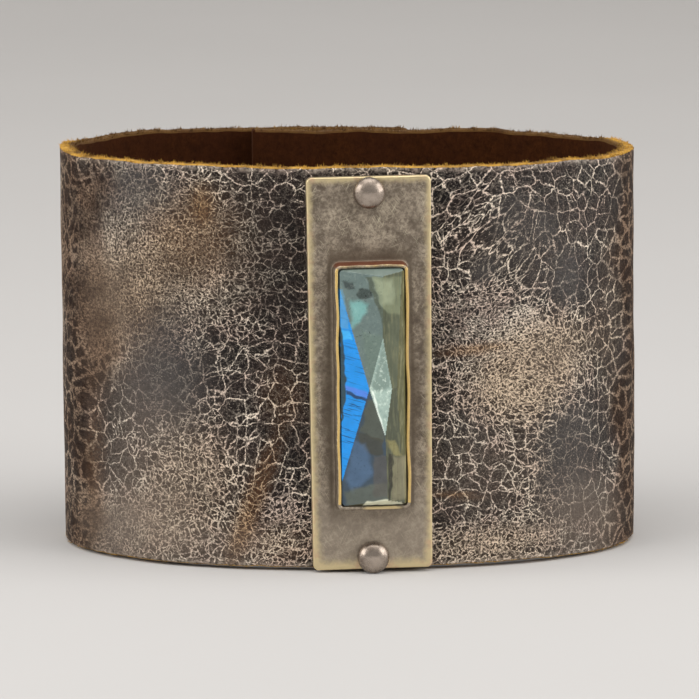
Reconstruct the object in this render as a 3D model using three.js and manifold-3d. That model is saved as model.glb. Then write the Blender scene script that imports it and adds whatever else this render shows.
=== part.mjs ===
// A wide leather cuff bracelet with a riveted brass plate that holds a long faceted stone in a bezel.
// Millimetres, +Z up along the wrist, the plate faces -Y, +X is to the right of whoever faces the plate.
// The cuff stands on the edge that is lower when it is worn, with the origin under the middle of its box.
import * as THREE from 'three';
import { mergeVertices } from 'three/addons/utils/BufferGeometryUtils.js';
import Module from 'manifold-3d';

const wasm = await Module();
wasm.setup();

// Leather band
const bandHeight = 50.8;
const cuffAcross = 74.2; // outside, side to side
const cuffDepth = 46; // outside, front to back
const leatherThickness = 2;
const frontFlat = 8.2; // straight stretch behind the plate
const lapLength = 21; // how far the two ends overlap at the back
const lapGap = 0.3; // between the two layers of the overlap
const lapEase = 0.5; // the straight stretch at the back runs this far past the overlap
const bendSteps = 14; // facets in each quarter bend

// Brass plate, with the bezel soldered on it
const plateTopWidth = 15.7;
const plateBottomWidth = 15.1;
const plateThickness = 1;
const plateTopMargin = 1; // leather that shows above the plate
const plateCorner = 0.7;
const plateLean = 1.1; // degrees, the top towards -X
const plateGap = 0.3; // between the plate and the leather
const bezelWall = 0.45;
const bezelHeight = 2.4;
const bezelCorner = 0.9;
const bezelDrop = 1.4; // the bezel's middle below the plate's middle
const solderDepth = 0.2; // how far the bezel's foot is let into the plate

// Stone
const stoneWidth = 8.1;
const stoneLength = 29.9;
const stoneCorner = 0.5;
const girdleHeight = 1.7; // from the stone's flat back to the foot of its crown
const crownHeight = 1.8;
const stoneClearance = 0.2; // to the bezel all round
const stoneSeat = 0.3; // between the stone's back and the plate

// Rivets
const rivetHead = 4;
const rivetDome = 1.15;
const rivetHeadEdge = 0.3; // the upright rim under the dome
const rivetShank = 2;
const rivetCap = 3.6; // the plain cap inside the band
const rivetCapThickness = 0.6;
const rivetClearance = 0.3;
const upperRivetInset = 2; // centre below the plate's top edge
const lowerRivetInset = 1.55; // centre above the plate's bottom edge

// Snaps that close the overlap at the back
const snapCap = 12;
const snapDome = 1.8;
const snapCapEdge = 0.4;
const snapShank = 3.6;
const snapFlange = 10;
const snapFlangeThickness = 0.8;
const snapClearance = 0.3;
const snapSpacing = 26;

const roundSides = 24;
const domeSteps = 5;

const plateHeight = bandHeight - plateTopMargin;
const stoneBase = plateThickness + stoneSeat;
const lowerRivetOverhang = rivetHead / 2 - lowerRivetInset;

const leather = new THREE.MeshStandardMaterial({ color: 0x4a382f, roughness: 0.5, metalness: 0 });
const agedBrass = new THREE.MeshStandardMaterial({ color: 0x8c8068, roughness: 0.45, metalness: 0.9 });
const rivetBrass = new THREE.MeshStandardMaterial({ color: 0x8f8375, roughness: 0.4, metalness: 0.9 });
const labradorite = new THREE.MeshStandardMaterial({ color: 0x5f7c84, roughness: 0.1, metalness: 0 });
const snapMetal = new THREE.MeshStandardMaterial({ color: 0x6e6454, roughness: 0.4, metalness: 0.9 });

// A closed three.js geometry as a solid that can be joined and cut
function toSolid(geometry) {
  const bare = geometry.clone();
  bare.deleteAttribute('normal');
  bare.deleteAttribute('uv');
  const welded = mergeVertices(bare, 1e-4);
  return new wasm.Manifold(new wasm.Mesh({
    numProp: 3,
    vertProperties: new Float32Array(welded.attributes.position.array),
    triVerts: new Uint32Array(welded.index.array),
  }));
}

function toGeometry(solid) {
  const mesh = solid.getMesh();
  const geometry = new THREE.BufferGeometry();
  geometry.setAttribute('position', new THREE.BufferAttribute(mesh.vertProperties, 3));
  geometry.setIndex(new THREE.BufferAttribute(mesh.triVerts, 1));
  const faceted = geometry.toNonIndexed();
  faceted.computeVertexNormals();
  return faceted;
}

function namedMesh(name, geometry, material) {
  const mesh = new THREE.Mesh(geometry, material);
  mesh.name = name;
  return mesh;
}

// One face of the leather: inset 0 is the outside, inset leatherThickness the inside.
// From the outer end at the back it runs round by the left side and the front, and ends under itself.
// Each quarter is part of an ellipse that leaves a straight stretch and meets the side upright.
function wallPath(inset) {
  const side = cuffAcross / 2 - inset;
  const depth = cuffDepth / 2 - inset;
  const lapDepth = depth - leatherThickness - lapGap;
  const lapHalf = lapLength / 2;
  const backHalf = lapHalf + lapEase;
  const frontHalf = frontFlat / 2;
  const path = new THREE.Path();
  path.moveTo(lapHalf, depth);
  path.absellipse(-backHalf, 0, side - backHalf, depth, Math.PI / 2, Math.PI, false, 0);
  path.absellipse(-frontHalf, 0, side - frontHalf, depth, Math.PI, 1.5 * Math.PI, false, 0);
  path.absellipse(frontHalf, 0, side - frontHalf, depth, 1.5 * Math.PI, 2 * Math.PI, false, 0);
  path.absellipse(backHalf, 0, side - backHalf, lapDepth, 0, Math.PI / 2, false, 0);
  path.lineTo(-lapHalf, lapDepth);
  return path.getPoints(bendSteps / 2);
}

function leatherStrip() {
  const outline = new THREE.Shape([...wallPath(0), ...wallPath(leatherThickness).reverse()]);
  return new THREE.ExtrudeGeometry(outline, { depth: bandHeight, bevelEnabled: false });
}

// A cylinder along Y for drilling, at one height
function drill(diameter, from, to, z) {
  const bit = new THREE.CylinderGeometry(diameter / 2, diameter / 2, to - from, roundSides);
  return bit.translate(0, (from + to) / 2, z);
}

// A rectangle or trapezoid about the origin with rounded corners, seen from the front
function roundedPanel(topWidth, bottomWidth, height, corner) {
  const corners = [
    new THREE.Vector2(-bottomWidth / 2, -height / 2),
    new THREE.Vector2(bottomWidth / 2, -height / 2),
    new THREE.Vector2(topWidth / 2, height / 2),
    new THREE.Vector2(-topWidth / 2, height / 2),
  ];
  const shape = new THREE.Shape();
  corners.forEach((at, i) => {
    const before = corners[(i + 3) % 4];
    const after = corners[(i + 1) % 4];
    const enter = before.clone().sub(at).setLength(corner).add(at);
    const leave = after.clone().sub(at).setLength(corner).add(at);
    if (i === 0) shape.moveTo(enter.x, enter.y);
    else shape.lineTo(enter.x, enter.y);
    shape.quadraticCurveTo(at.x, at.y, leave.x, leave.y);
  });
  return shape;
}

// The panel stood upright, from one distance in front of the plate's back to another
function uprightPanel(shape, from, to) {
  const panel = new THREE.ExtrudeGeometry(shape, { depth: to - from, bevelEnabled: false, curveSegments: 4 });
  return panel.rotateX(Math.PI / 2).translate(0, -from, 0);
}

// The plate's own frame: origin in the middle of its back face, front towards -Y
const rivetPlaces = {
  rivet_upper: plateHeight / 2 - upperRivetInset,
  rivet_lower: -plateHeight / 2 + lowerRivetInset,
};

function settingPlate() {
  const innerWidth = stoneWidth + 2 * stoneClearance;
  const innerLength = stoneLength + 2 * stoneClearance;
  const outerWidth = innerWidth + 2 * bezelWall;
  const outerLength = innerLength + 2 * bezelWall;
  const plate = uprightPanel(
    roundedPanel(plateTopWidth, plateBottomWidth, plateHeight, plateCorner), 0, plateThickness);
  const bezelTop = plateThickness + bezelHeight;
  const bezel = uprightPanel(
    roundedPanel(outerWidth, outerWidth, outerLength, bezelCorner), plateThickness - solderDepth, bezelTop);
  const pocket = uprightPanel(
    roundedPanel(innerWidth, innerWidth, innerLength, bezelCorner - bezelWall),
    plateThickness, bezelTop + bezelHeight);
  bezel.translate(0, 0, -bezelDrop);
  pocket.translate(0, 0, -bezelDrop);
  let solid = toSolid(plate).add(toSolid(bezel)).subtract(toSolid(pocket));
  for (const z of Object.values(rivetPlaces)) {
    const hole = drill(rivetShank + 2 * rivetClearance, -2 * plateThickness, plateThickness, z);
    solid = solid.subtract(toSolid(hole));
  }
  return toGeometry(solid);
}

// Points of the crown as shares: across of the half width, along of the half length, up of the crown's
// height. The table is the kite between left, top, right and bottom.
const crownPoints = {
  //               across, along,   up
  leftHigh:       [ -1.00,  0.84, 0.25],
  leftLow:        [ -0.95, -0.74, 0.25],
  tableLeft:      [ -0.16,  0.00, 1.00],
  tableTop:       [  0.28,  0.43, 1.00],
  tableBottom:    [  0.32, -0.40, 1.00],
  tableRight:     [  0.54,  0.00, 1.00],
  shoulderHigh:   [  0.72,  0.66, 0.62],
  shoulderLow:    [  0.74, -0.62, 0.62],
  rightMiddle:    [  0.74,  0.00, 0.80],
  rightHigh:      [  1.00,  1.00, 0.16],
  rightLow:       [  1.00, -1.00, 0.16],
  topPeak:        [  0.10,  0.96, 0.62],
  topLeft:        [ -1.00,  1.00, 0.10],
  topRight:       [  1.00,  1.00, 0.10],
  bottomPeak:     [  0.30, -0.96, 0.62],
  bottomLeft:     [ -1.00, -1.00, 0.10],
  bottomRight:    [  1.00, -1.00, 0.10],
};

// Each facet is the plane through three of those points
const crownFacets = [
  ['leftHigh', 'leftLow', 'tableLeft'],
  ['tableLeft', 'tableTop', 'tableBottom'],
  ['leftHigh', 'tableLeft', 'tableTop'],
  ['leftLow', 'tableLeft', 'tableBottom'],
  ['tableTop', 'tableRight', 'shoulderHigh'],
  ['tableBottom', 'tableRight', 'shoulderLow'],
  ['rightMiddle', 'rightHigh', 'rightLow'],
  ['topPeak', 'topLeft', 'topRight'],
  ['bottomPeak', 'bottomLeft', 'bottomRight'],
];

function stone() {
  const top = stoneBase + girdleHeight + crownHeight;
  const blank = uprightPanel(
    roundedPanel(stoneWidth, stoneWidth, stoneLength, stoneCorner), stoneBase, top + crownHeight);
  let solid = toSolid(blank.translate(0, 0, -bezelDrop));
  const place = ([across, along, up]) => new THREE.Vector3(
    across * stoneWidth / 2,
    -(stoneBase + girdleHeight + up * crownHeight),
    along * stoneLength / 2 - bezelDrop);
  for (const names of crownFacets) {
    const [a, b, c] = names.map((name) => place(crownPoints[name]));
    const out = b.clone().sub(a).cross(c.clone().sub(a)).normalize();
    if (out.y > 0) out.negate();
    // A block that stands on the facet takes off all that is in front of it
    const block = new THREE.BoxGeometry(3 * stoneLength, 3 * stoneLength, 2 * stoneLength);
    block.translate(0, 0, stoneLength);
    block.applyQuaternion(new THREE.Quaternion().setFromUnitVectors(new THREE.Vector3(0, 0, 1), out));
    block.translate(a.x, a.y, a.z);
    solid = solid.subtract(toSolid(block));
  }
  return toGeometry(solid);
}

// A button turned about Y: a domed head in front, a shank, and a flat cap behind.
// headBack and capFront are the faces that look at each other along Y.
function button({ head, dome, edge, shank, cap, capThickness, headBack, capFront }) {
  const profile = [new THREE.Vector2(0, headBack - edge - dome)];
  for (let i = 1; i <= domeSteps; i++) {
    const turn = (i / domeSteps) * Math.PI / 2;
    profile.push(new THREE.Vector2(head / 2 * Math.sin(turn), headBack - edge - dome * Math.cos(turn)));
  }
  profile.push(
    new THREE.Vector2(head / 2, headBack),
    new THREE.Vector2(shank / 2, headBack),
    new THREE.Vector2(shank / 2, capFront),
    new THREE.Vector2(cap / 2, capFront),
    new THREE.Vector2(cap / 2, capFront + capThickness),
    new THREE.Vector2(0, capFront + capThickness),
  );
  return toGeometry(toSolid(new THREE.LatheGeometry(profile, roundSides)));
}

const rivet = () => button({
  head: rivetHead,
  dome: rivetDome,
  edge: rivetHeadEdge,
  shank: rivetShank,
  cap: rivetCap,
  capThickness: rivetCapThickness,
  headBack: -plateThickness - rivetClearance,
  capFront: plateGap + leatherThickness + rivetClearance,
});

const snap = () => button({
  head: snapCap,
  dome: snapDome,
  edge: snapCapEdge,
  shank: snapShank,
  cap: snapFlange,
  capThickness: snapFlangeThickness,
  headBack: -snapClearance,
  capFront: 2 * leatherThickness + lapGap + snapClearance,
});

// The plate with what it carries, in front of the band and level with its lower edge
const setting = new THREE.Group();
setting.position.set(0, -(cuffDepth / 2 + plateGap), plateHeight / 2);
setting.rotation.y = -THREE.MathUtils.degToRad(plateLean);
setting.updateMatrix();
setting.add(namedMesh('setting_plate', settingPlate(), agedBrass));
setting.add(namedMesh('stone', stone(), labradorite));
for (const [name, z] of Object.entries(rivetPlaces)) {
  const mesh = namedMesh(name, rivet(), rivetBrass);
  mesh.position.z = z;
  setting.add(mesh);
}

const snapHeights = [bandHeight / 2 - snapSpacing / 2, bandHeight / 2 + snapSpacing / 2];

// The strip with its holes. The front ones follow the plate's lean.
function leatherBand() {
  let solid = toSolid(leatherStrip());
  for (const z of Object.values(rivetPlaces)) {
    const hole = drill(rivetShank + 2 * rivetClearance, -plateGap, plateGap + 2 * leatherThickness, z);
    solid = solid.subtract(toSolid(hole.applyMatrix4(setting.matrix)));
  }
  for (const z of snapHeights) {
    const back = cuffDepth / 2;
    const depth = 2 * (leatherThickness + lapGap);
    solid = solid.subtract(toSolid(drill(snapShank + 2 * snapClearance, back - depth, back + lapGap, z)));
  }
  return toGeometry(solid);
}

const cuff = new THREE.Group();
cuff.add(namedMesh('leather_band', leatherBand(), leather), setting);
['snap_lower', 'snap_upper'].forEach((name, i) => {
  const mesh = namedMesh(name, snap(), snapMetal);
  mesh.position.set(0, cuffDepth / 2, snapHeights[i]);
  mesh.rotation.z = Math.PI;
  cuff.add(mesh);
});

// The lower rivet stands proud below the leather, so the cuff leans back from it onto its rear edge
const rivetFoot = cuffDepth / 2 + plateGap + plateThickness + rivetClearance + rivetHeadEdge;
cuff.rotation.x = -Math.atan2(lowerRivetOverhang, rivetFoot + cuffDepth / 2);

const part = new THREE.Group();
part.add(cuff);
part.updateMatrixWorld(true);
const reach = new THREE.Box3().setFromObject(cuff, true);
const middle = reach.getCenter(new THREE.Vector3());
cuff.position.set(-middle.x, -middle.y, -reach.min.z);

export default part;
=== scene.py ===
# A wide leather wrist cuff, lapped and snapped at the back, with a riveted brass plate that holds
# a long faceted stone. Shapes are worked out in millimetres and go into the meshes in metres.
import math

import bpy
import numpy as np
from mathutils import Matrix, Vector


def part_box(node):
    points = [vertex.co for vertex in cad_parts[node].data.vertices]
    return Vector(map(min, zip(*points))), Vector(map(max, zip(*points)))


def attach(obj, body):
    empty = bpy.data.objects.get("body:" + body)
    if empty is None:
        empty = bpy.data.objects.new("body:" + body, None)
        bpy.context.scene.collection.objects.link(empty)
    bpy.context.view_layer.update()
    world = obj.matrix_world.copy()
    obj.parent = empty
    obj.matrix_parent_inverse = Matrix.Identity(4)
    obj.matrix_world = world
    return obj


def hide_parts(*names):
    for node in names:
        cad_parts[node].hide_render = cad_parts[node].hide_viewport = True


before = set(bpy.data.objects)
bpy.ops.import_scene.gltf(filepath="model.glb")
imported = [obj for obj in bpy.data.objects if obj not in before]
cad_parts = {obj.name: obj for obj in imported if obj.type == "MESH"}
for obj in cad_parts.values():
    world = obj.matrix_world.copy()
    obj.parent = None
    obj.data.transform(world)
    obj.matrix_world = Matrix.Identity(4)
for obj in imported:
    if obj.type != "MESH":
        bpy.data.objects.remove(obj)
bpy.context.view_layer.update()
scene = bpy.context.scene
print("cuff: the packed frame is in")

# Where the cuff stands: it tips back a little on its lower rivet and the rear of its lower edge
cuff = {
    "height": 50.8,
    "side": 37.1,  # half of the width across
    "depth": 23.0,  # half of the depth, front to back
    "thickness": 2.0,
    "frontHalf": 4.1,  # half of the straight stretch behind the plate
    "backHalf": 11.0,
    "lapHalf": 10.5,
    "lapGap": 0.3,
    "tip": -0.53825,  # degrees
    "shear": 0.0147,  # the leather's sideways lean, the top towards -X
    "cornerSteps": 900,
    "steps": 460,
    "faceSteps": 84,
    "edgeRound": 0.32,
    "lump": 0.10,  # how far the outer face swells and sinks
    "rimWave": 0.13,
}

tipAngle = math.radians(cuff["tip"])
tipCos, tipSin = math.cos(tipAngle), math.sin(tipAngle)
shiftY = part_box("leather_band")[0].y * 1000 + cuff["depth"] * tipCos
shiftZ = -cuff["depth"] * tipSin


def stand(points):
    # Turned about X by the tip and moved, from the cuff's own frame to the finished one
    x, y, z = points[..., 0], points[..., 1], points[..., 2]
    return np.stack([x, y * tipCos - z * tipSin + shiftY, y * tipSin + z * tipCos + shiftZ], -1)


def smoothStep(value, low, high):
    t = np.clip((value - low) / (high - low), 0, 1)
    return t * t * (3 - 2 * t)


def waves(x, y, size, seed, count=12):
    # A smooth field of about unit height: plane waves in random directions, "size" long, added up
    dice = np.random.default_rng(seed)
    angle = dice.uniform(0, 2 * np.pi, count)
    length = size * dice.uniform(0.6, 1.7, count)
    phase = dice.uniform(0, 2 * np.pi, count)
    along = x[..., None] * np.cos(angle) + y[..., None] * np.sin(angle)
    return np.sin(2 * np.pi * along / length + phase).sum(-1) / math.sqrt(count / 2)


def spots(x, y, places):
    # Soft oval patches added up: across, up, half width, half height, turn in degrees, strength
    total = np.zeros_like(x)
    for cx, cy, rx, ry, turn, strength in places:
        c, s = math.cos(math.radians(turn)), math.sin(math.radians(turn))
        u = ((x - cx) * c + (y - cy) * s) / rx
        v = (-(x - cx) * s + (y - cy) * c) / ry
        total += strength * np.exp(-(u * u + v * v) ** 1.5)
    return total


def gridFaces(rows, columns, closed=True, flip=False):
    # The quads between neighbouring points of a grid; closed joins the last column to the first
    i, j = np.meshgrid(np.arange(rows - 1), np.arange(columns if closed else columns - 1), indexing="ij")
    k = (j + 1) % columns
    corners = [i * columns + j, (i + 1) * columns + j, (i + 1) * columns + k, i * columns + k]
    quads = np.stack(corners, -1).reshape(-1, 4)
    return quads[:, ::-1] if flip else quads


def endFaces(rows, columns):
    # One face over the first row of a closed grid and one over its last
    ring = np.arange(columns)
    return [ring[None], (ring[::-1] + (rows - 1) * columns)[None]]


def makePiece(name, points, faces, materials, faceMaterials=None, values=None, smooth=True, place=stand):
    # faces is a list of face arrays; values are attributes that the materials read, one row a point
    mesh = bpy.data.meshes.new(name)
    rows = [face for group in faces for face in np.asarray(group).tolist()]
    mesh.from_pydata((place(points) * 0.001).tolist(), [], rows)
    for material in materials:
        mesh.materials.append(material)
    if faceMaterials is not None:
        mesh.polygons.foreach_set("material_index", faceMaterials.astype(np.int32))
    mesh.polygons.foreach_set("use_smooth", np.full(len(mesh.polygons), smooth))
    for key, value in (values or {}).items():
        value = np.asarray(value, dtype=np.float32)
        kind = "FLOAT" if value.ndim == 1 else ("FLOAT_VECTOR" if value.shape[1] == 3 else "FLOAT_COLOR")
        slot = {"FLOAT": "value", "FLOAT_VECTOR": "vector", "FLOAT_COLOR": "color"}[kind]
        mesh.attributes.new(key, kind, "POINT").data.foreach_set(slot, value.ravel())
    mesh.update()
    piece = bpy.data.objects.new(name, mesh)
    scene.collection.objects.link(piece)
    return piece


def onBody(piece, slotName, *nodes):
    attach(piece, "root")
    if nodes:
        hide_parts(*nodes)
    return piece


# Short calls for shader nodes: an input that is a socket is linked, any other is set

def setInputs(tree, node, inputs):
    for key, value in inputs.items():
        if isinstance(value, bpy.types.NodeSocket):
            tree.links.new(value, node.inputs[key])
        else:
            node.inputs[key].default_value = value
    return node


def addNode(tree, kind, inputs, **settings):
    made = tree.nodes.new("ShaderNode" + kind)
    for key, value in settings.items():
        setattr(made, key, value)
    return setInputs(tree, made, inputs)


def calc(tree, operation, a, b, clamp=False):
    return addNode(tree, "Math", {0: a, 1: b}, operation=operation, use_clamp=clamp).outputs[0]


def plus(tree, a, b, clamp=False):
    return calc(tree, "ADD", a, b, clamp)


def minus(tree, a, b):
    return calc(tree, "SUBTRACT", a, b)


def times(tree, a, b, clamp=False):
    return calc(tree, "MULTIPLY", a, b, clamp)


def vectorMath(tree, operation, *vectors):
    return addNode(tree, "VectorMath", dict(enumerate(vectors)), operation=operation).outputs[0]


def mix(tree, factor, a, b, kind="MIX"):
    return addNode(tree, "Mix", {0: factor, 6: a, 7: b}, data_type="RGBA", blend_type=kind).outputs[2]


def span(tree, value, low, high, toLow=0.0, toHigh=1.0, kind="SMOOTHSTEP"):
    inputs = {"Value": value, "From Min": low, "From Max": high, "To Min": toLow, "To Max": toHigh}
    return addNode(tree, "MapRange", inputs, interpolation_type=kind).outputs["Result"]


def noise(tree, vector, scale, detail, roughness, output="Fac"):
    inputs = {"Vector": vector, "Scale": scale, "Detail": detail, "Roughness": roughness}
    return addNode(tree, "TexNoise", inputs).outputs[output]


def clouds(tree, vector, scale, detail, roughness, *limits):
    # Noise with its middle drawn out to soft-edged patches
    return span(tree, noise(tree, vector, scale, detail, roughness), *limits)


def attribute(tree, name, output="Fac"):
    return addNode(tree, "Attribute", {}, attribute_name=name).outputs[output]


def stretch(tree, vector, scale, turn=(0.0, 0.0, 0.0)):
    return addNode(tree, "Mapping", {"Vector": vector, "Scale": scale, "Rotation": turn}).outputs[0]


def objectCoordinates(tree):
    # In millimetres
    return stretch(tree, addNode(tree, "TexCoord", {}).outputs["Object"], (1000.0, 1000.0, 1000.0))


def newGroup(name, inputs, outputs):
    # Inputs are name, kind and value; outputs are name and kind
    group = bpy.data.node_groups.new(name, "ShaderNodeTree")
    kinds = {"float": "NodeSocketFloat", "colour": "NodeSocketColor", "vector": "NodeSocketVector"}
    for socketName, kind, value in inputs:
        socket = group.interface.new_socket(socketName, in_out="INPUT", socket_type=kinds[kind])
        if value is not None:
            socket.default_value = value
    for socketName, kind in outputs:
        group.interface.new_socket(socketName, in_out="OUTPUT", socket_type=kinds[kind])
    return group, group.nodes.new("NodeGroupInput").outputs, group.nodes.new("NodeGroupOutput")


def useGroup(tree, group, inputs):
    return setInputs(tree, addNode(tree, "Group", {}, node_tree=group), inputs).outputs


def newMaterial(name):
    material = bpy.data.materials.new(name)
    material.use_nodes = True
    tree = material.node_tree
    tree.nodes.clear()
    shader = addNode(tree, "BsdfPrincipled", {})
    addNode(tree, "OutputMaterial", {"Surface": shader.outputs[0]})
    return material, tree, shader


def addBump(tree, height, strength=1.0):
    # height is in millimetres
    return addNode(tree, "Bump", {"Height": height, "Strength": strength, "Distance": 0.001}).outputs[0]


def buildCrackNet():
    # A net of cracks round uneven cells, from the distance to the cell borders
    group, given, result = newGroup(
        "crackNet",
        [("Vector", "vector", None), ("Cell Size", "float", 1.0), ("Line Width", "float", 0.1),
         ("Gap Share", "float", 0.3), ("Gap Size", "float", 3.0)],
        [("Line", "float"), ("Cell", "float"), ("Border", "float")])
    vector, size = given["Vector"], given["Cell Size"]
    scale = calc(group, "DIVIDE", 1.0, size)
    border, cells = (addNode(group, "TexVoronoi", {"Vector": vector, "Scale": scale},
                             voronoi_dimensions="2D", feature=feature).outputs[output]
                     for feature, output in (("DISTANCE_TO_EDGE", "Distance"), ("F1", "Color")))
    away = times(group, border, size)  # millimetres to the nearest border
    fray = noise(group, vector, calc(group, "DIVIDE", 1.0, given["Gap Size"]), 2.0, 0.6)
    kept = span(group, fray, minus(group, given["Gap Share"], 0.07), plus(group, given["Gap Share"], 0.09))
    grain = noise(group, vector, times(group, scale, 2.2), 2.0, 0.7)
    width = times(group, given["Line Width"], span(group, grain, 0.25, 0.75, 0.45, 1.5, "LINEAR"))
    line = span(group, calc(group, "DIVIDE", away, width), 0.25, 1.0, 1.0, 0.0)
    setInputs(group, result, {"Line": times(group, line, kept), "Cell": cells, "Border": border})
    return group


def buildEdgeWear():
    # Bright metal where a worn edge has lost its patina, eaten into by a grain
    group, given, result = newGroup(
        "edgeWear",
        [("Vector", "vector", None), ("Edge", "float", 0.0), ("Grain", "float", 1.0), ("Bite", "float", 0.6)],
        [("Mask", "float")])
    grain = minus(group, noise(group, given["Vector"], given["Grain"], 4.0, 0.65), 0.5)
    bitten = plus(group, given["Edge"], times(group, grain, given["Bite"]))
    setInputs(group, result, {"Mask": span(group, bitten, 0.35, 0.85)})
    return group


def buildPatina():
    # Patina on metal: clouds of two tones, fine speckle, and clusters of short crossing scratches
    group, given, result = newGroup(
        "patina",
        [("Vector", "vector", None), ("Dark", "colour", (0.1, 0.1, 0.1, 1)),
         ("Light", "colour", (0.3, 0.3, 0.3, 1)), ("Cloud Size", "float", 4.0), ("Speckle", "float", 0.4),
         ("Scratch", "colour", (0.5, 0.45, 0.36, 1)), ("Scratching", "float", 0.6)],
        [("Color", "colour"), ("Rough", "float"), ("Height", "float")])
    vector = given["Vector"]
    cloud = noise(group, vector, calc(group, "DIVIDE", 1.0, given["Cloud Size"]), 6.0, 0.72)
    speckle = noise(group, vector, 2.4, 5.0, 0.75)
    pits = noise(group, vector, 2.2, 4.0, 0.7)
    colour = mix(group, span(group, cloud, 0.30, 0.70), given["Dark"], given["Light"])
    spotted = times(group, span(group, speckle, 0.46, 0.57), given["Speckle"])
    colour = mix(group, spotted, colour, given["Dark"])
    clusters = times(group, clouds(group, vector, 0.35, 2.0, 0.5, 0.40, 0.62), given["Scratching"])
    for turn, share in ((1.15, 0.9), (-1.05, 0.8), (0.35, 0.6), (2.3, 0.6)):
        turned = stretch(group, vector, (1.0, 1.0, 1.0), (0.0, turn, 0.0))
        scratch = clouds(group, stretch(group, turned, (0.38, 1.0, 8.0)), 1.0, 2.0, 0.5, 0.63, 0.69)
        colour = mix(group, times(group, scratch, times(group, clusters, share)), colour, given["Scratch"])
    height = plus(group, times(group, pits, 0.02), times(group, speckle, 0.006))
    setInputs(group, result, {"Color": colour, "Rough": span(group, pits, 0.3, 0.75), "Height": height})
    return group


def buildNap():
    # The nap of suede and of raw leather: short tangled fibres
    group, given, result = newGroup(
        "nap",
        [("Vector", "vector", None), ("Fibre Size", "float", 0.3)],
        [("Mask", "float"), ("Height", "float")])
    vector = given["Vector"]
    scale = calc(group, "DIVIDE", 1.0, given["Fibre Size"])
    bent = vectorMath(group, "MULTIPLY", noise(group, vector, 1.1, 2.0, 0.5, "Color"), (2.0, 2.0, 2.0))
    bent = vectorMath(group, "ADD", bent, vector)
    fibres = noise(group, stretch(group, bent, (1.0, 1.0, 0.35)), scale, 4.0, 0.7)
    tufts = noise(group, vector, times(group, scale, 0.3), 3.0, 0.6)
    mask = plus(group, times(group, fibres, 0.6), times(group, tufts, 0.4))
    setInputs(group, result, {"Mask": span(group, mask, 0.3, 0.7, 0.0, 1.0, "LINEAR"),
                              "Height": times(group, mask, 0.16)})
    return group


crackNet = buildCrackNet()
edgeWear = buildEdgeWear()
patina = buildPatina()
nap = buildNap()

# Cracked, glossy leather. Colours are linear; sizes are millimetres.
leatherLook = {
    "black": (0.0030, 0.0019, 0.0018, 1),
    "char": (0.0125, 0.0078, 0.0068, 1),
    "line": (0.84, 0.73, 0.60, 1),
    "pinkLine": (0.66, 0.52, 0.43, 1),
    "tan": (0.052, 0.034, 0.0215, 1),
    "tanLine": (0.68, 0.53, 0.375, 1),
    "paintedSheen": (0.058, 0.053, 0.051, 1),
    "brown": (0.0135, 0.0056, 0.0027, 1),
    "film": (0.205, 0.158, 0.122, 1),
    "orange": (0.120, 0.052, 0.020, 1),
    "orangeLine": (0.46, 0.27, 0.10, 1),
    "sideLine": (0.150, 0.084, 0.043, 1),
    # Bends of the nets: the noise's scale, detail and roughness, and how far it pushes
    "bends": [(0.30, 2.0, 0.5, 2.0), (1.4, 2.0, 0.5, 0.45), (3.2, 3.0, 0.65, 0.46)],
    # Each net: cell size, line width, share of gaps, size of gaps, and the fineness from and to which it
    # comes in and goes out, with what is left of it outside
    "nets": [
        (2.15, 0.115, 0.37, 2.2, None, (0.28, 0.55, 0.25)),
        (1.25, 0.105, 0.40, 1.3, (0.05, 0.28, 0.15), (0.58, 0.80, 0.25)),
        (0.76, 0.105, 0.42, 0.7, (0.30, 0.50, 0.10), (0.85, 1.05, 0.55)),
        (0.50, 0.105, 0.43, 0.5, (0.62, 0.90, 0.0), None),
    ],
    "netStep": (31.7, 18.3, 0.0),  # so that no two nets share their cells
    "sideWiden": 0.26,
}


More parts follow.
